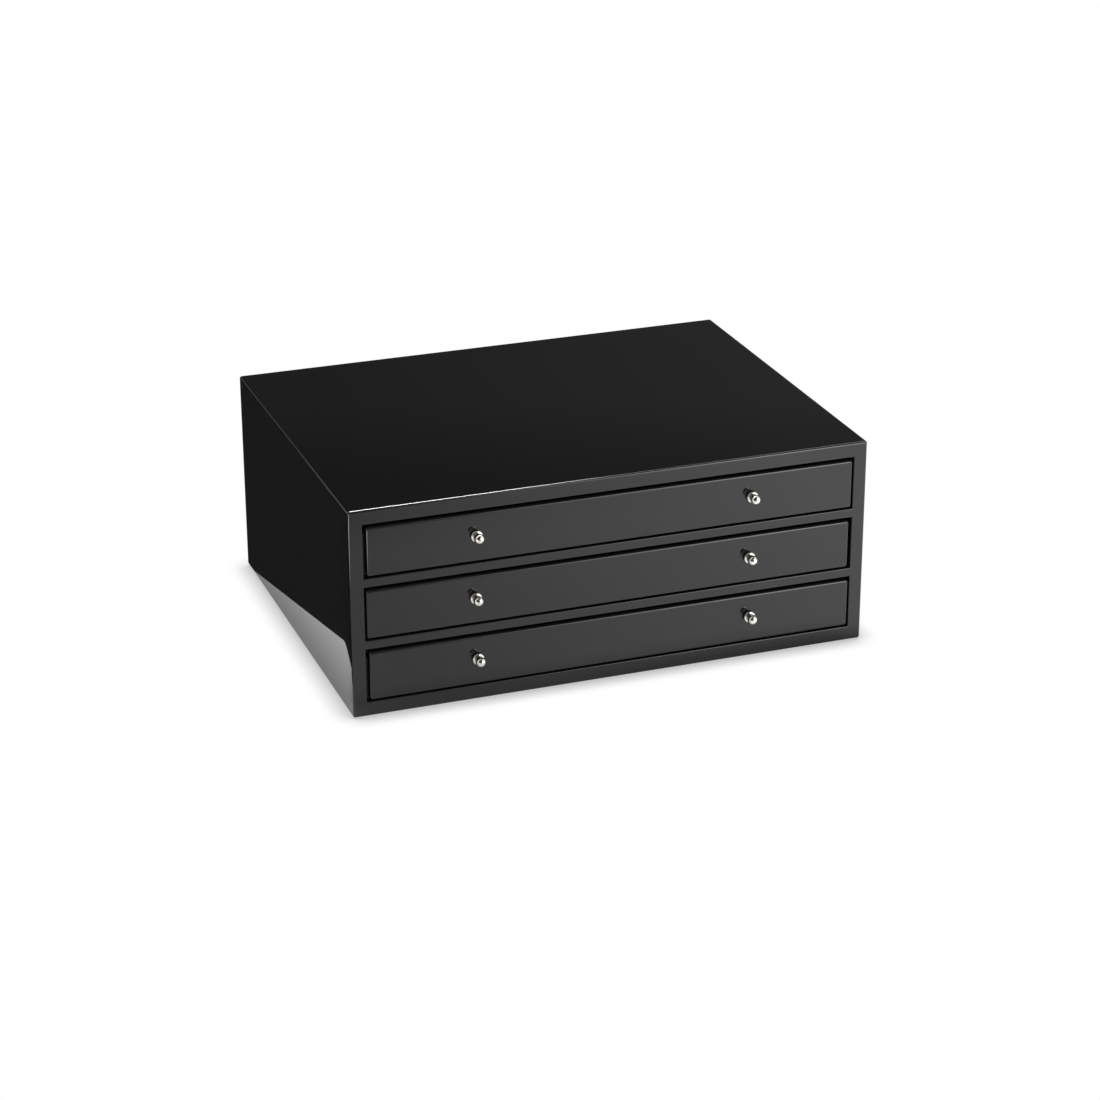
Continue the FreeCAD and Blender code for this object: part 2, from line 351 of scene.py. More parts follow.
@dataclass(frozen=True)
class Nickel:
    """Polished nickel, warm and bright, with faint turning marks, and painted shade that darkens its
    crevices.
    """

    colour: Colour = (0.87, 0.83, 0.78, 1.0)
    painted_crevice_shade: Colour = (0.05, 0.045, 0.04, 1.0)
    crevice_shade_reach: float = 2.5 * MM
    gloss_low: float = 0.06
    gloss_high: float = 0.14
    ring_grain: float = 0.16 * MM
    ring_depth: float = 0.0012 * MM
    handling_grain: float = 2.5 * MM
    handling_span: Pair = (0.35, 0.7)

    def build(self) -> bpy.types.Material:
        """Make the material."""
        shader = Shader(Slot.NICKEL.value)
        place = shader.place()
        rings = shader.noise(shader.scaled(place, (0.0, 1.0, 0.0)), self.ring_grain, 3.0)
        handling = shader.noise(place, self.handling_grain)
        return shader.principled(
            # Painted shade: the colour darkens where the knob is closed in, in the crevices between foot,
            # collar, neck and ball.
            Base_Color=shader.blended(shader.openness(self.crevice_shade_reach), self.painted_crevice_shade, self.colour),
            Roughness=shader.ranged(handling, self.gloss_low, self.gloss_high, self.handling_span),
            Metallic=1.0, Normal=shader.relief(rings, self.ring_depth),
        )


@dataclass(frozen=True)
class Zinc:
    """Bright zinc plate on the screws, a little blotched."""

    colour: Colour = (0.5, 0.51, 0.52, 1.0)
    dulled: Colour = (0.36, 0.36, 0.35, 1.0)
    gloss: float = 0.28
    dulled_gloss: float = 0.48
    blotch_grain: float = 0.9 * MM
    blotch_span: Pair = (0.35, 0.65)

    def build(self) -> bpy.types.Material:
        """Make the material."""
        shader = Shader(Slot.ZINC.value)
        blotches = shader.noise(shader.place(), self.blotch_grain, 3.0)
        return shader.principled(
            Base_Color=shader.blended(blotches, self.dulled, self.colour, self.blotch_span),
            Roughness=shader.ranged(blotches, self.dulled_gloss, self.gloss, self.blotch_span),
            Metallic=1.0,
        )


def add_object(name: str, data: bpy.types.ID) -> bpy.types.Object:
    """Put an object in the scene, at the origin."""
    thing = bpy.data.objects.new(name, data)
    bpy.context.scene.collection.objects.link(thing)
    return thing


def add_mesh(name: str, vertices: list[Vector], faces: list[tuple[int, ...]]) -> bpy.types.Object:
    """Put a mesh object in the scene.

    Args:
        name: The object's name.
        vertices: The places of its vertices.
        faces: The vertex numbers of each face.

    Returns:
        The new object, at the origin.
    """
    mesh = bpy.data.meshes.new(name)
    mesh.from_pydata(vertices, [], faces)
    return add_object(name, mesh)


class Recipe(Nodes):
    """A Geometry Nodes tree that makes one piece."""

    def __init__(self, name: str, **sizes: float) -> None:
        """Start a tree.

        Args:
            name: The tree's name.
            **sizes: Its named inputs, with their values in metres.
        """
        super().__init__(bpy.data.node_groups.new(name, "GeometryNodeTree"))
        add_socket = self.tree.interface.new_socket
        for label, value in sizes.items():
            add_socket(name=label, in_out="INPUT", socket_type="NodeSocketFloat").default_value = value
        add_socket(name="finish", in_out="INPUT", socket_type="NodeSocketMaterial")
        add_socket(name="Geometry", in_out="OUTPUT", socket_type="NodeSocketGeometry")
        self.given = self.add("NodeGroupInput").outputs
        self.result = self.add("NodeGroupOutput").inputs[0]

    def point(self, across: object, along: object, up: object = 0.0) -> Socket:
        """A point from three numbers, linked or plain."""
        return self.add("ShaderNodeCombineXYZ", X=across, Y=along, Z=up).outputs[0]

    def negative(self, value: Socket) -> Socket:
        """A number with its sign turned round."""
        return self.math("MULTIPLY", value, -1.0)

    def moved(self, shape: Socket, **change: object) -> Socket:
        """A shape after a change of its Translation, its Rotation or both."""
        return self.add("GeometryNodeTransform", Geometry=shape, **change).outputs[0]

    def line(self, start: Socket, end: Socket) -> Socket:
        """A straight part of a profile."""
        return self.add("GeometryNodeCurvePrimitiveLine", Start=start, End=end).outputs[0]

    def lines(self, corners: list[Socket]) -> list[Socket]:
        """The straight parts of a profile from corner to corner."""
        return [self.line(start, end) for start, end in zip(corners, corners[1:])]

    def arc(self, start: Socket, middle: Socket, end: Socket, steps: int) -> Socket:
        """A round part of a profile through three points."""
        node = self.add("GeometryNodeCurveArc", mode="POINTS", Resolution=steps, Start=start, Middle=middle,
                        End=end)
        return node.outputs[0]

    def row(self, start: Socket, end: Socket, count: int = 2) -> Socket:
        """Points in an even row from one place to another."""
        node = self.add("GeometryNodeMeshLine", mode="END_POINTS", Count=count, Start_Location=start,
                        Offset=end)
        return node.outputs[0]

    def left_and_right(self, along: str) -> tuple[Socket, Socket]:
        """The left and right places on a drawer, at the height and the Y that the tree is given."""
        given = self.given
        left = self.point(given["left_place"], given[along], given["height"])
        return left, self.point(given["right_place"], given[along], given["height"])

    def joined(self, *parts: Socket) -> Socket:
        """Several geometries as one."""
        node = self.add("GeometryNodeJoinGeometry")
        for part in reversed(parts):
            self.feed(node.inputs[0], part)
        return node.outputs[0]

    def turned(self, parts: list[Socket], steps: int, tilt: float) -> Socket:
        """A closed solid, as a lathe would turn it.

        Args:
            parts: The parts of its profile in order, as (radius, distance along the axis).
            steps: How many facets go round it.
            tilt: 90 degrees for an axis that runs towards +Y, -90 degrees for -Y.

        Returns:
            The solid, with its axis along Y from the origin.
        """
        # The profile is swept round a circle, and moved by the circle's radius towards its middle.
        circle_radius = 20.0 * MM
        profile = self.moved(self.joined(*parts), Translation=(-circle_radius, 0.0, 0.0))
        circle = self.add("GeometryNodeCurvePrimitiveCircle", Resolution=steps, Radius=circle_radius)
        sweep = self.add("GeometryNodeCurveToMesh", Curve=circle.outputs[0], Profile_Curve=profile)
        welded = self.add("GeometryNodeMergeByDistance", Geometry=sweep.outputs[0], Distance=0.001 * MM)
        return self.moved(welded.outputs[0], Rotation=(math.radians(tilt), 0.0, 0.0))

    def copied(self, shape: Socket, points: Socket, rotation: object = (0.0, 0.0, 0.0)) -> None:
        """End the tree with copies of a shape on some points, made real and given the finish."""
        copies = self.add("GeometryNodeInstanceOnPoints", Points=points, Instance=shape, Rotation=rotation)
        real = self.add("GeometryNodeRealizeInstances", Geometry=copies.outputs[0])
        dressed = self.add("GeometryNodeSetMaterial", Geometry=real.outputs[0],
                           Material=self.given["finish"])
        self.feed(self.result, dressed.outputs[0])

    def make(self, name: str, finish: bpy.types.Material, **sizes: float) -> bpy.types.Object:
        """Run the tree and keep its result as a plain mesh.

        Args:
            name: The new piece's name.
            finish: Its material.
            **sizes: Named inputs that differ from the tree's own values.

        Returns:
            The piece, at the origin.
        """
        holder = add_mesh(f"{name}_holder", [], [])
        modifier = holder.modifiers.new("recipe", "NODES")
        modifier.node_group = self.tree
        given = {"finish": finish, **sizes}
        for item in self.tree.interface.items_tree:
            if item.in_out == "INPUT" and item.name in given:
                modifier[item.identifier] = given[item.name]
        made = holder.evaluated_get(bpy.context.evaluated_depsgraph_get())
        mesh = bpy.data.meshes.new_from_object(made)
        mesh.name = name
        bpy.data.objects.remove(holder)
        outward(mesh, TURNED_CREASE)
        return add_object(name, mesh)


def outward(mesh: bpy.types.Mesh, crease: float) -> None:
    """Turn a mesh's faces outwards and smooth all but its sharp edges.

    Args:
        mesh: The mesh.
        crease: The angle in degrees above which an edge stays sharp.
    """
    work = bmesh.new()
    work.from_mesh(mesh)
    bmesh.ops.recalc_face_normals(work, faces=work.faces)
    for face in work.faces:
        face.smooth = True
    work.to_mesh(mesh)
    work.free()
    mesh.set_sharp_from_angle(angle=math.radians(crease))


def settle(piece: bpy.types.Object, body: str, slot: Slot, *nodes: str) -> None:
    """Put a finished piece on its body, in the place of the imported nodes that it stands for."""
    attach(piece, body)
    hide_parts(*nodes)
    LOG.info("%s: %d faces, on %s", piece.name, len(piece.data.polygons), body)


@dataclass
class Knobs:
    """The two turned knobs of each drawer: a foot, a collar with a round rim, a neck and a ball."""

    foot_radius: float = 2.9 * MM
    foot_length: float = 0.9 * MM
    collar_radius: float = 5.2 * MM
    collar_thickness: float = 3.2 * MM
    neck_radius: float = 2.0 * MM
    neck_cove: float = 0.35 * MM
    neck_cove_bend: float = 0.29
    ball_radius: float = 4.3 * MM
    ball_distance: float = 8.4 * MM
    hole_radius: float = 1.55 * MM
    hole_depth: float = 3.6 * MM
    facets: int = 64
    rim_steps: int = 24
    cove_steps: int = 6
    ball_steps: int = 40

    def recipe(self) -> Recipe:
        """The tree that turns one knob and sets it on both places of a drawer."""
        recipe = Recipe("turned_knobs", foot_radius=self.foot_radius, foot_length=self.foot_length,
                        collar_radius=self.collar_radius, collar_thickness=self.collar_thickness,
                        neck_radius=self.neck_radius, ball_radius=self.ball_radius,
                        ball_distance=self.ball_distance, left_place=0.0, right_place=0.0, face=0.0,
                        height=0.0)
        given, sums, at = recipe.given, recipe.math, recipe.point
        rim = sums("MULTIPLY", given["collar_thickness"], 0.5)
        rim_centre = sums("SUBTRACT", given["collar_radius"], rim)
        rim_height = sums("ADD", given["foot_length"], rim)
        collar_end = sums("ADD", given["foot_length"], given["collar_thickness"])
        squares = [sums("POWER", given[name], 2.0) for name in ("ball_radius", "neck_radius")]
        ball_start = sums("SUBTRACT", given["ball_distance"], sums("SQRT", sums("SUBTRACT", *squares)))
        corners = [
            at(0.0, self.hole_depth),
            at(self.hole_radius, self.hole_depth),
            at(self.hole_radius, 0.0),
            at(given["foot_radius"], 0.0),
            at(given["foot_radius"], given["foot_length"]),
            at(rim_centre, given["foot_length"]),
        ]
        shoulder = at(rim_centre, collar_end)
        cove = at(sums("ADD", given["neck_radius"], self.neck_cove), collar_end)
        cove_bend = self.neck_cove_bend * self.neck_cove
        cove_middle = at(sums("ADD", given["neck_radius"], cove_bend), sums("ADD", collar_end, cove_bend))
        neck = at(given["neck_radius"], sums("ADD", collar_end, self.neck_cove))
        ball_edge = at(given["neck_radius"], ball_start)
        tip = at(0.0, sums("ADD", given["ball_distance"], given["ball_radius"]))
        parts = recipe.lines(corners) + [
            recipe.arc(corners[-1], at(given["collar_radius"], rim_height), shoulder, self.rim_steps),
            recipe.line(shoulder, cove),
            recipe.arc(cove, cove_middle, neck, self.cove_steps),
            recipe.line(neck, ball_edge),
            recipe.arc(ball_edge, at(given["ball_radius"], given["ball_distance"]), tip, self.ball_steps),
        ]
        knob = recipe.turned(parts, self.facets, -90.0)
        recipe.copied(knob, recipe.row(*recipe.left_and_right("face")))
        return recipe

    def build(self, finish: bpy.types.Material) -> None:
        """Make the knobs of each drawer.

        Args:
            finish: The knobs' material.
        """
        recipe = self.recipe()
        for drawer in DRAWERS:
            nodes = [f"{drawer}_drawer_{hand}_knob" for hand in ("left", "right")]
            boxes = [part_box(node) for node in nodes]
            middles = [[(low + high) / 2 for low, high in zip(*box)] for box in boxes]
            piece = recipe.make(f"{drawer}_drawer_knobs", finish, left_place=middles[0][0],
                                right_place=middles[1][0], face=boxes[0][1][1], height=middles[0][2])
            settle(piece, f"{drawer}_drawer", Slot.NICKEL, *nodes)


@dataclass
class Screws:
    """The slotted screws: machine screws behind the knobs, countersunk ones round the back."""

    shank_radius: float = 1.5 * MM
    slot_width: float = 0.8 * MM
    slot_depth: float = 0.7 * MM
    knob_head_radius: float = 2.9 * MM
    knob_head_height: float = 2.2 * MM
    knob_head_rounding: float = 0.7 * MM
    back_head_radius: float = 3.0 * MM
    back_screw_inset: float = 49.0 * MM
    facets: int = 40
    rounding_steps: int = 8
    seed: int = 7

    def slotted(self, recipe: Recipe, screw: Socket, radius: float, face: float) -> Socket:
        """Cut a driver slot across a screw's head.

        Args:
            recipe: The tree that the screw is in.
            screw: The screw, with its axis along Y.
            radius: The head's radius.
            face: Where the head's face is along Y, which it looks towards.

        Returns:
            The slotted screw.
        """
        length = 2 * (radius + self.slot_width)
        cutter = recipe.add("GeometryNodeMeshCube", Size=(length, 2 * self.slot_depth, self.slot_width))
        placed = recipe.moved(cutter.outputs[0], Translation=(0.0, face, 0.0))
        cut = recipe.add("GeometryNodeMeshBoolean", operation="DIFFERENCE", solver="EXACT", Mesh_1=screw,
                         Mesh_2=placed)
        return cut.outputs[0]

    def turn(self, recipe: Recipe) -> Socket:
        """A turn about Y for each screw, as the driver happened to leave it."""
        chance = recipe.add("FunctionNodeRandomValue", data_type="FLOAT", Seed=self.seed)
        for index, limit in ((2, 0.0), (3, math.pi)):
            recipe.feed(chance.inputs[index], limit)
        return recipe.point(0.0, chance.outputs[1])

    def knob_screws(self) -> Recipe:
        """The tree for the two machine screws of a drawer."""
        recipe = Recipe("knob_screws", left_place=0.0, right_place=0.0, seat=0.0, height=0.0,
                        shank_length=0.0)
        at = recipe.point
        top = self.knob_head_height
        rounding = self.knob_head_rounding
        bend = rounding * ARC_BEND
        shank_end = recipe.negative(recipe.given["shank_length"])
        corners = [
            at(0.0, shank_end),
            at(self.shank_radius, shank_end),
            at(self.shank_radius, 0.0),
            at(self.knob_head_radius, 0.0),
            at(self.knob_head_radius, top - rounding),
        ]
        rim = at(self.knob_head_radius - rounding, top)
        parts = recipe.lines(corners) + [
            recipe.arc(corners[-1], at(self.knob_head_radius - bend, top - bend), rim,
                       self.rounding_steps),
            recipe.line(rim, at(0.0, top)),
        ]
        screw = self.slotted(recipe, recipe.turned(parts, self.facets, 90.0), self.knob_head_radius, top)
        recipe.copied(screw, recipe.row(*recipe.left_and_right("seat")), self.turn(recipe))
        return recipe

    def back_screws(self) -> Recipe:
        """The tree for the screws round the back panel: a grid of three by three without its middle."""
        low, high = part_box("back_panel_screws")
        radius = self.back_head_radius
        side = high[0] - radius
        recipe = Recipe("back_screws", row_half=side - self.back_screw_inset, side_place=side,
                        low=low[2] + radius, high=high[2] - radius, face=high[1], length=high[1] - low[1])
        given, at = recipe.given, recipe.point
        corners = [
            at(0.0, 0.0),
            at(radius, 0.0),
            at(self.shank_radius, radius - self.shank_radius),
            at(self.shank_radius, given["length"]),
            at(0.0, given["length"]),
        ]
        screw = self.slotted(recipe, recipe.turned(recipe.lines(corners), self.facets, -90.0), radius, 0.0)
        middle = recipe.math("MULTIPLY", recipe.math("ADD", given["low"], given["high"]), 0.5)
        places = []
        for half, height, count in (("row_half", given["low"], 3), ("row_half", given["high"], 3),
                                    ("side_place", middle, 2)):
            start = at(recipe.negative(given[half]), given["face"], height)
            places.append(recipe.row(start, at(given[half], given["face"], height), count))
        recipe.copied(screw, recipe.joined(*places), self.turn(recipe))
        return recipe

    def build(self, finish: bpy.types.Material) -> None:
        """Make all screws.

        Args:
            finish: The screws' material.
        """
        recipe = self.knob_screws()
        for drawer in DRAWERS:
            node = f"{drawer}_drawer_knob_screws"
            low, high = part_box(node)
            seat = high[1] - self.knob_head_height
            piece = recipe.make(f"{drawer}_drawer_slotted_screws", finish,
                                left_place=low[0] + self.knob_head_radius,
                                right_place=high[0] - self.knob_head_radius,
                                seat=seat, height=(low[2] + high[2]) / 2, shank_length=seat - low[1])
            settle(piece, f"{drawer}_drawer", Slot.ZINC, node)
        piece = self.back_screws().make("countersunk_screws", finish)
        settle(piece, "carcass", Slot.ZINC, "back_panel_screws")


@dataclass
class FeltDots:
    """The felt dots on the back panel that the drawers close against."""

    radius: float = 5.0 * MM
    rounding: float = 0.5 * MM
    facets: int = 32
    rounding_steps: int = 6

    def build(self, finish: bpy.types.Material) -> None:
        """Make the dots in two columns, one row behind each drawer.

        Args:
            finish: The felt's material.
        """
        low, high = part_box("drawer_bumpers")
        recipe = Recipe("felt_dots", thickness=high[1] - low[1], half_width=high[0] - self.radius,
                        half_height=(high[2] - low[2]) / 2 - self.radius, seat=high[1],
                        middle=(low[2] + high[2]) / 2)
        given, sums, at = recipe.given, recipe.math, recipe.point
        bend = self.rounding * ARC_BEND
        foot = at(self.radius, 0.0)
        edge = at(self.radius, sums("SUBTRACT", given["thickness"], self.rounding))
        rim = at(self.radius - self.rounding, given["thickness"])
        middle = at(self.radius - bend, sums("SUBTRACT", given["thickness"], bend))
        parts = [
            recipe.line(at(0.0, 0.0), foot),
            recipe.line(foot, edge),
            recipe.arc(edge, middle, rim, self.rounding_steps),
            recipe.line(rim, at(0.0, given["thickness"])),
        ]
        dot = recipe.turned(parts, self.facets, -90.0)
        wide = sums("MULTIPLY", given["half_width"], 2.0)
        tall = sums("MULTIPLY", given["half_height"], 2.0)
        grid = recipe.add("GeometryNodeMeshGrid", Size_X=wide, Size_Y=tall, Vertices_X=2, Vertices_Y=3)
        upright = recipe.moved(grid.outputs[0], Translation=at(0.0, given["seat"], given["middle"]),
                               Rotation=(math.radians(90.0), 0.0, 0.0))
        recipe.copied(dot, upright)
        piece = recipe.make("felt_dots", finish)
        settle(piece, "carcass", Slot.FELT, "drawer_bumpers")


@dataclass
class Pad:
    """A thin soft layer that lies on a board, with rolled edges and a slightly uneven face."""

    node: str
    name: str
    body: str
    slot: Slot
    roll: float
    corner: float
    unevenness: float
    face_down: bool = False
    spacing: float = 4.0 * MM
    rings: int = 5
    wave_length: float = 30.0 * MM
    edge_share: float = 0.3

    def marks(self, low: float, high: float) -> list[float]:
        """Places along one side of the pad, close together where its edge rolls over.

        Args:
            low: Where the side starts.
            high: Where it ends.

        Returns:
            The places from low to high.
        """
        rolled = [self.roll * (1 - math.cos(math.pi / 2 * step / self.rings)) for step in range(self.rings)]
        count = max(2, round((high - low - 2 * self.roll) / self.spacing))
        flat = [low + self.roll + (high - low - 2 * self.roll) * step / count for step in range(count + 1)]
        return [low + r for r in rolled] + flat + [high - r for r in reversed(rolled)]

    def rounded(self, place: Vector, middle: Vector, half: Vector) -> Vector:
        """Move a point of the square outline onto the rounded corner.

        Args:
            place: The point.
            middle: The pad's middle.
            half: Half its width and depth.

        Returns:
            The point, which moves only where it lies in the corner's square.
        """
        offset = place - middle
        inner = Vector((half.x - self.corner, half.y - self.corner))
        over = Vector((abs(offset.x) - inner.x, abs(offset.y) - inner.y))
        if over.x <= 0 or over.y <= 0:
            return place
        pulled = over.normalized() * max(over.x, over.y)
        signs = Vector((math.copysign(1.0, offset.x), math.copysign(1.0, offset.y)))
        return middle + Vector((signs.x * (inner.x + pulled.x), signs.y * (inner.y + pulled.y)))

    def build(self, finish: bpy.types.Material) -> bpy.types.Object:
        """Make the pad in the place of its node.

        Args:
            finish: Its material.

        Returns:
            The piece.
        """
        low, high = (Vector(corner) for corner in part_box(self.node))
        middle, half = (low + high).to_2d() / 2, (high - low).to_2d() / 2
        columns, rows = self.marks(low.x, high.x), self.marks(low.y, high.y)
        thickness = high.z - low.z
        vertices = []
        for side in (0, 1):
            for x in columns:
                for y in rows:
                    edge = min(x - low.x, high.x - x, y - low.y, high.y - y)
                    rise = math.sqrt(max(0.0, 1 - (1 - min(1.0, edge / self.roll)) ** 2))
                    wave = noise.noise(Vector((x, y, side)) / self.wave_length)
                    dip = self.unevenness * (0.5 + 0.5 * wave)
                    filled = thickness * (self.edge_share + (1 - self.edge_share) * rise)
                    depth = filled - dip * rise if side else 0.0
                    height = high.z - depth if self.face_down else low.z + depth
                    place = self.rounded(Vector((x, y)), middle, half)
                    vertices.append(Vector((place.x, place.y, height)))
        count, across = len(rows), len(columns)
        layer = count * across
        faces = []
        for i in range(across - 1):
            for j in range(count - 1):
                corner = i * count + j
                loop = (corner, corner + 1, corner + count + 1, corner + count)
                faces.append(loop)
                faces.append(tuple(layer + k for k in reversed(loop)))
        rim = list(range(count))
        rim += [i * count + count - 1 for i in range(1, across)]
        rim += [(across - 1) * count + j for j in range(count - 2, -1, -1)]
        rim += [i * count for i in range(across - 2, 0, -1)]
        for here, there in zip(rim, rim[1:] + rim[:1]):
            faces.append((here, there, layer + there, layer + here))
        piece = add_mesh(self.name, vertices, faces)
        piece.data.materials.append(finish)
        outward(piece.data, PAD_CREASE)
        settle(piece, self.body, self.slot, self.node)
        return piece


@dataclass
class SoftParts:
    """The velvet on the drawer bottoms, and the felt under the base."""

    velvet_roll: float = 1.4 * MM
    velvet_corner: float = 1.0 * MM
    velvet_unevenness: float = 0.35 * MM
    felt_roll: float = 0.5 * MM
    felt_corner: float = 4.0 * MM
    felt_unevenness: float = 0.02 * MM
    felt_spacing: float = 12.0 * MM

    def build(self, velvet: bpy.types.Material, felt: bpy.types.Material) -> None:
        """Args:
            velvet: The linings' material.
            felt: The base felt's material.
        """
        for drawer in DRAWERS:
            pad = Pad(f"{drawer}_drawer_lining", f"{drawer}_drawer_velvet", f"{drawer}_drawer", Slot.VELVET,
                      self.velvet_roll, self.velvet_corner, self.velvet_unevenness)
            pad.build(velvet)
        under = Pad("base_felt", "base_felt_sheet", "carcass", Slot.FELT, self.felt_roll, self.felt_corner,
                    self.felt_unevenness, face_down=True, spacing=self.felt_spacing)
        under.build(felt)


@dataclass(frozen=True)
class Viewpoint:
    """The camera, at the photograph's viewing angle. Angles are in degrees."""

    place: Triple = (-0.8305, -2.3106, 1.0971)
    turn: float = 19.88
    tilt: float = 23.11
    roll: float = -0.155
    sensor: float = 36.0
    lens: float = 97.82
    reach: float = 50.0

    def build(self) -> None:
        """Place the camera."""
        data = bpy.data.cameras.new("camera")
        data.lens = self.lens
        data.sensor_width = self.sensor
        data.clip_end = self.reach
        turn, tilt = math.radians(self.turn), math.radians(self.tilt)
        forward = Vector((
            math.sin(turn) * math.cos(tilt),
            math.cos(turn) * math.cos(tilt),
            -math.sin(tilt),
        ))
        aim = forward.to_track_quat("-Z", "Y").to_matrix().to_4x4()
        roll = Matrix.Rotation(math.radians(self.roll), 4, "Z")
        camera = add_object("camera", data)
        camera.matrix_world = Matrix.Translation(self.place) @ aim @ roll
        bpy.context.scene.camera = camera


@dataclass(frozen=True)
class Floor:
    """A white floor that is seen plain apart from a painted contact shadow, and that the gloss mirrors in
    painted zones of light and shade.

    A tone is the light that a zone gives off. A span is where along X or Y one zone passes into
    the next, or for the painted contact shadow and the painted shade the openness at which the shade starts
    and ends.
    """

    half: float = 7.0
    matt_colour: Colour = (0.85, 0.85, 0.85, 1.0)
    contact_shadow_width: float = 22.0 * MM
    contact_shadow_tone: float = 0.55
    contact_shadow_span: Pair = (0.45, 0.97)
    shade_width: float = 60.0 * MM
    shade_tone: float = 0.4
    shade_span: Pair = (0.55, 1.0)
    front_left_far: float = 0.54
    front_left_near: float = 0.72
    front_left_span: Pair = (-0.58, -0.5)
    front_right: float = 1.45
    front_right_span: Pair = (-0.15, 0.35)
    side_left: float = 1.47
    side_right: float = 0.8
    side_span: Pair = (-0.2, 0.2)
    front_to_side_span: Pair = (-0.2, -0.17)
    far_share: float = 0.15
    far_span: Pair = (-2.2, -1.6)

    def mirrored(self, shader: Shader) -> Socket:
        """The painted tone of light and shade that the gloss mirrors at each place of the floor.

        Args:
            shader: The floor's material.

        Returns:
            The tone.
        """
        across, along, _ = shader.axes(shader.place())
        front_left = shader.ranged(along, self.front_left_far, self.front_left_near, self.front_left_span)
        to_right = shader.ranged(across, 0.0, 1.0, self.front_right_span)
        front = shader.between(to_right, front_left, self.front_right)
        side = shader.ranged(across, self.side_left, self.side_right, self.side_span)
        tone = shader.between(shader.ranged(along, 0.0, 1.0, self.front_to_side_span), front, side)
        tone = shader.math("MULTIPLY", tone, shader.ranged(along, self.far_share, 1.0, self.far_span))
        # Painted shade: the mirrored tone darkens where the floor is closed in by the chest.
        shade = shader.ranged(shader.openness(self.shade_width), self.shade_tone, 1.0, self.shade_span)
        return shader.math("MULTIPLY", tone, shade)

    def build(self) -> None:
        """Make the floor, with a painted soft contact shadow where the chest stands on it."""
        half = self.half
        outline = ((-half, -half), (half, -half), (half, half), (-half, half))
        floor = add_mesh("floor", [Vector((x, y, 0.0)) for x, y in outline], [(0, 1, 2, 3)])
        shader = Shader("floor")
        # Painted contact shadow: what the camera sees of the floor darkens where the chest closes it in.
        seen = shader.ranged(shader.openness(self.contact_shadow_width), self.contact_shadow_tone, 1.0, self.contact_shadow_span)
        rays = shader.add("ShaderNodeLightPath").outputs
        tone = shader.between(rays["Is Camera Ray"], self.mirrored(shader), seen)
        matt = shader.add("ShaderNodeBsdfDiffuse", Color=self.matt_colour)
        mix = shader.add("ShaderNodeMixShader")
        direct = shader.math("MAXIMUM", rays["Is Camera Ray"], rays["Is Glossy Ray"])
        for index, value in enumerate((direct, matt.outputs[0], shader.glow(tone))):
            shader.feed(mix.inputs[index], value)
        floor.data.materials.append(shader.finished(mix.outputs[0]))


@dataclass(frozen=True)
class Tent:
    """A dark dome over the set, which the gloss mirrors instead of a white room."""

    radius: float = 6.5
    segments: int = 48
    rings: int = 24
    glow_left: float = 0.056
    glow_right: float = 0.09
    across_span: Pair = (1.4, 2.7)
    high_share: float = 0.62
    high_span: Pair = (2.4, 2.62)

    def build(self) -> None:
        """Make the dome, whose glow changes to the right and higher up."""
        mesh = bmesh.new()
        bmesh.ops.create_uvsphere(mesh, u_segments=self.segments, v_segments=self.rings, radius=self.radius)
        under = [vertex for vertex in mesh.verts if vertex.co.z < -10.0 * MM]
        bmesh.ops.delete(mesh, geom=under, context="VERTS")
        data = bpy.data.meshes.new("tent")
        mesh.to_mesh(data)
        mesh.free()
        shader = Shader("tent")
        across, _, up = shader.axes(shader.place())
        glow = shader.ranged(across, self.glow_left, self.glow_right, self.across_span)
        share = shader.ranged(up, 1.0, self.high_share, self.high_span)
        data.materials.append(shader.finished(shader.glow(shader.math("MULTIPLY", glow, share))))
        tent = add_object("tent", data)
        tent.visible_camera = False


@dataclass(frozen=True)
class Card:
    """A flat glowing or dark card off the chest, which shows only in its gloss."""

    name: str
    corner: Triple
    along: Triple
    across: Triple
    glow: float
    far_glow: float | None = None

    def build(self) -> None:
        """Make the card as one four-sided face. It fades to far_glow along, where that is given."""
        corner, along, across = Vector(self.corner), Vector(self.along), Vector(self.across)
        corners = [corner, corner + along, corner + along + across, corner + across]
        card = add_mesh(self.name, corners, [(0, 1, 2, 3)])
        layer = card.data.uv_layers.new(name="fade")
        for loop, place in zip(layer.data, ((0.0, 0.0), (1.0, 0.0), (1.0, 1.0), (0.0, 1.0))):
            loop.uv = place
        shader = Shader(self.name)
        part = shader.axes(shader.add("ShaderNodeUVMap", uv_map="fade").outputs[0])[0]
        far_glow = self.glow if self.far_glow is None else self.far_glow
        card.data.materials.append(shader.finished(shader.glow(shader.ranged(part, self.glow, far_glow))))
        card.visible_camera = False
        card.visible_shadow = False
        card.visible_diffuse = False


@dataclass(frozen=True)
class SoftBox:
    """A square lamp that looks at the chest and shows in no reflection."""

    name: str
    place: Triple
    width: float
    watts: float
    aim: Triple = (0.0, -0.2, 0.05)

    def build(self) -> None:
        """Hang the lamp."""
        data = bpy.data.lights.new(self.name, "AREA")
        data.shape = "SQUARE"
        data.size = self.width
        data.energy = self.watts
        turn = (Vector(self.aim) - Vector(self.place)).to_track_quat("-Z", "Y").to_matrix().to_4x4()
        lamp = add_object(self.name, data)
        lamp.matrix_world = Matrix.Translation(self.place) @ turn
        lamp.visible_camera = False
        lamp.visible_glossy = False


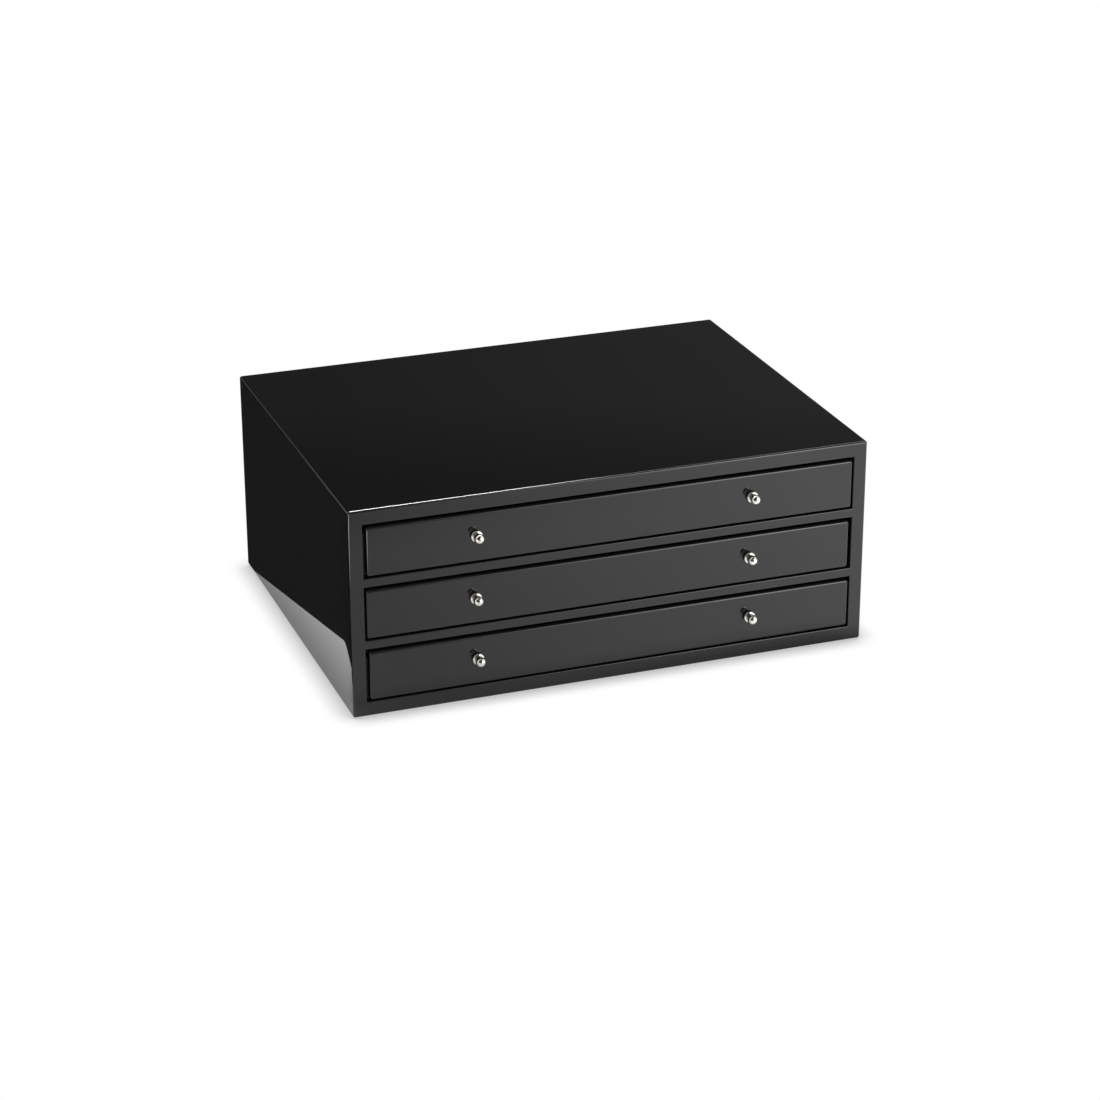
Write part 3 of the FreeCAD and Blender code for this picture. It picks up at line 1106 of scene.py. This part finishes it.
@dataclass(frozen=True)
class Studio:
    """Everything round the chest: the camera, the floor, the tent, the cards and the lamps."""

    mat_glow: float = 0.027
    back_left_glow: float = 0.2
    wall_glow: float = 1.2
    front_wall_glow: float = 6.2
    front_wall_end_glow: float = 6.8
    left_glow: float = 5.0
    strip_start_glow: float = 110.0
    strip_glow: float = 80.0
    strip_end_glow: float = 8.0
    strip_last_glow: float = 6.0

    def build(self) -> None:
        """Make everything that isn't part of the chest."""
        Viewpoint().build()
        Floor().build()
        Tent().build()
        for card in (*self.mats(), *self.edge_cards(), *self.walls()):
            card.build()
        world = bpy.data.worlds.new("world")
        world.use_nodes = True
        world.node_tree.nodes["Background"].inputs["Color"].default_value = (1.0, 1.0, 1.0, 1.0)
        bpy.context.scene.world = world
        for lamp in self.lamps():
            lamp.build()

    def mats(self) -> tuple[Card, ...]:
        """Dark mats just over the floor, which end its white in the left side."""
        dark = self.mat_glow
        return (
            Card("left_dark_mat", (-0.2245, 0.19, 0.0005), (-0.0735, -0.375, 0.0), (-1.75, 4.6, 0.0), dark),
            Card("side_dark_mat", (-0.298, -0.185, 0.0006), (-0.38, -0.075, 0.0), (-0.17, 0.62, 0.0), dark),
            Card("back_dark_mat", (-0.6, 0.175, 0.0007), (0.54, 0.0, 0.0), (0.0, 1.4, 0.0), dark),
            Card("far_dark_mat", (-1.8, 1.5, 0.0008), (1.6, 0.0, 0.0), (0.0, 4.0, 0.0), dark),
        )

    def edge_cards(self) -> tuple[Card, ...]:
        """Bright cards that light up the rounded edges of the top and the front."""
        strip, end = self.strip_glow, self.strip_end_glow
        wall, wall_end = self.front_wall_glow, self.front_wall_end_glow
        deep, high = (0.0, 0.16, 0.0), (0.0, 0.0, 4.3)
        return (
            Card("left_glow", (-0.62, -0.56, 0.002), (0.17, 0.0, 0.0), (0.0, 0.24, 0.0), self.left_glow),
            Card("edge_strip", (-0.05, 0.1, 1.05), (0.25, 0.0, 0.0), deep, self.strip_start_glow, strip),
            Card("edge_strip_middle", (0.2, 0.1, 1.05), (0.14, 0.0, 0.0), deep, strip, end),
            Card("edge_strip_end", (0.34, 0.1, 1.05), (0.46, 0.0, 0.0), deep, end, self.strip_last_glow),
            Card("front_wall", (1.02, -4.0, 0.0), (1.19, 0.0, 0.0), high, 0.0, wall),
            Card("front_wall_end", (2.21, -4.0, 0.0), (0.28, 0.0, 0.0), high, wall, wall_end),
        )

    def walls(self) -> tuple[Card, ...]:
        """Pale walls and ceilings to the left and right, which the knobs and the edges mirror."""
        pale, faint = self.wall_glow, self.back_left_glow
        return (
            Card("back_left_card", (-0.5, 1.8, 0.15), (-0.7, 0.0, 0.0), (0.0, 0.0, 0.85), faint),
            Card("left_wall", (-1.6, -0.5, 0.0), (0.0, 2.3, 0.0), (0.0, 0.0, 2.2), pale),
            Card("right_wall", (1.7, -1.2, 0.0), (0.0, 2.9, 0.0), (0.0, 0.0, 2.2), pale),
            Card("right_front_wall", (0.85, -1.35, 0.0), (0.85, 0.15, 0.0), (0.0, 0.0, 1.6), pale),
            Card("left_ceiling", (-1.6, -0.5, 2.2), (1.7, 0.0, 0.0), (0.0, 3.1, 0.0), pale),
            Card("right_ceiling", (1.35, -1.2, 2.2), (0.9, 0.0, 0.0), (0.0, 3.8, 0.0), pale),
        )

    def lamps(self) -> tuple[SoftBox, ...]:
        """The lamps, which light the set from above on three sides."""
        return (
            SoftBox("front_soft_box", (-0.3, -1.9, 1.9), 1.2, 30.0),
            SoftBox("right_soft_box", (1.3, -0.8, 0.75), 0.9, 18.0),
            SoftBox("left_soft_box", (-1.6, -0.9, 1.2), 1.0, 14.0),
        )


def dress(name: str, material: bpy.types.Material) -> None:
    """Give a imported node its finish."""
    slots = frame["nodes"][name].data.materials
    slots.clear()
    slots.append(material)
    LOG.info("%s: finished with %s", name, material.name)


def main() -> None:
    """Build the studio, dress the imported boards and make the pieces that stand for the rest."""
    logging.basicConfig(level=logging.INFO, format="%(message)s")
    Studio().build()
    finishes = {
        Slot.LACQUER: Lacquer().build(),
        Slot.PAINT: SatinPaint().build(),
        Slot.VELVET: Velvet().build(),
        Slot.FELT: Felt().build(),
        Slot.NICKEL: Nickel().build(),
        Slot.ZINC: Zinc().build(),
    }
    front_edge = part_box("left_side_panel")[0][1]
    side_lacquer = Lacquer(rolled_edge=front_edge).build()
    for entry in frame["record"]["subparts"]:
        name, slot = entry["node"], Slot(entry["material_slot"])
        if slot in (Slot.LACQUER, Slot.PAINT):
            dress(name, side_lacquer if name.endswith("_side_panel") else finishes[slot])
    Knobs().build(finishes[Slot.NICKEL])
    Screws().build(finishes[Slot.ZINC])
    FeltDots().build(finishes[Slot.FELT])
    SoftParts().build(finishes[Slot.VELVET], finishes[Slot.FELT])
    bpy.context.scene.view_settings.view_transform = "Standard"


if __name__ == "__main__":
    main()
